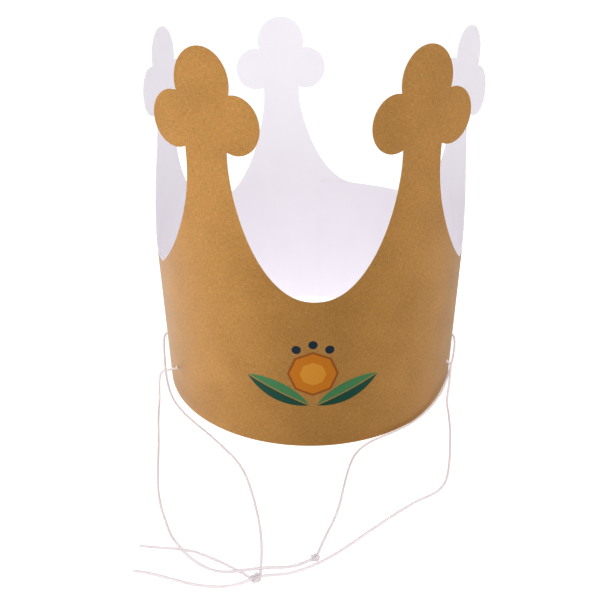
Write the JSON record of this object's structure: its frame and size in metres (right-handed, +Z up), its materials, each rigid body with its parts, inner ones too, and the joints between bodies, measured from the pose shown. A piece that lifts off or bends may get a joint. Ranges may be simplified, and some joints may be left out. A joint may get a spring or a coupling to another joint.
{
  "type": "paper crown",
  "caption": "Tall open card crown with trefoil-topped points on a round band, gold outside and white inside, with soft knotted elastic threads through punched side holes.",
  "frame": {"origin": "centre of the ring at the level of its lower edge, which is the surface the crown stands on", "axes": "+Z up along the ring's axis towards the points, -Y towards the front, +X to the right as seen from the front"},
  "size_m": [0.1913, 0.2781, 0.2042],
  "materials": {
    "card": "satin metallic gold print on one face of thin white card, bare white inside and at the cut edges",
    "thread": "soft white round elastic thread"
  },
  "bodies": {
    "root": {"crown_band": "card", "thread_left": "thread", "thread_right": "thread", "tail_knot": "thread", "middle_knot": "thread"}
  },
  "joints": []
}
